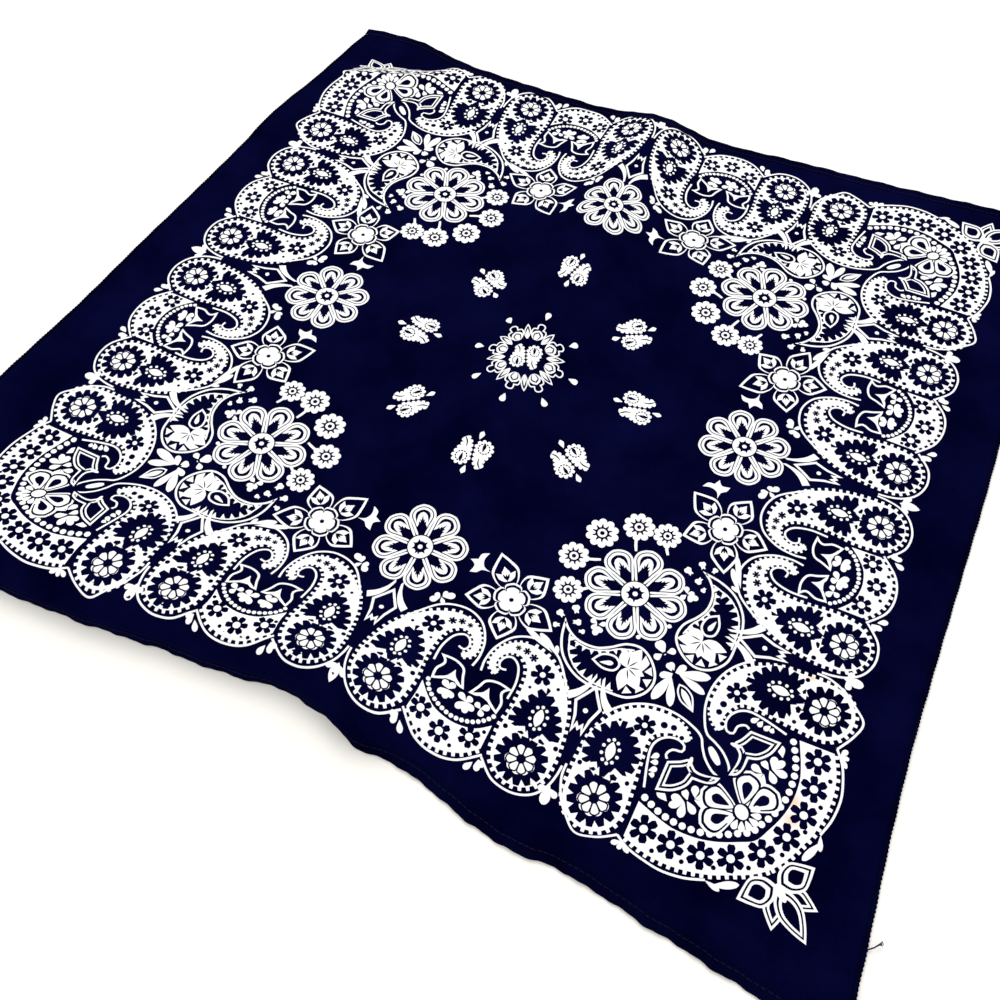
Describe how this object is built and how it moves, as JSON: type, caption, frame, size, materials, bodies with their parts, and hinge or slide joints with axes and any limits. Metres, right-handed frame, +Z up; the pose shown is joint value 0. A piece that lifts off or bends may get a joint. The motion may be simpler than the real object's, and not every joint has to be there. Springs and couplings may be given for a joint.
{
  "type": "bandana",
  "caption": "Square cotton bandana lying spread on a flat surface, with rolled hems, woven selvedges, a standing fold down the middle and a lifted near edge.",
  "frame": {"origin": "middle of the spread cloth's box, on the surface that it lies on", "axes": "+X along the near hem, from the left selvedge to the right one; +Y from the near hem to the far hem; +Z up, away from the surface"},
  "size_m": [0.5864, 0.5633, 0.0215],
  "materials": {
    "printed_cotton": "plain-woven cotton, deep navy ground with a white paisley print",
    "hem_cotton": "double-folded navy cotton, machine stitched",
    "selvedge_cotton": "close-woven navy cotton edge"
  },
  "bodies": {
    "root": {"printed_panel": "printed_cotton", "near_hem": "hem_cotton", "far_hem": "hem_cotton", "left_selvedge": "selvedge_cotton", "right_selvedge": "selvedge_cotton"}
  },
  "joints": []
}
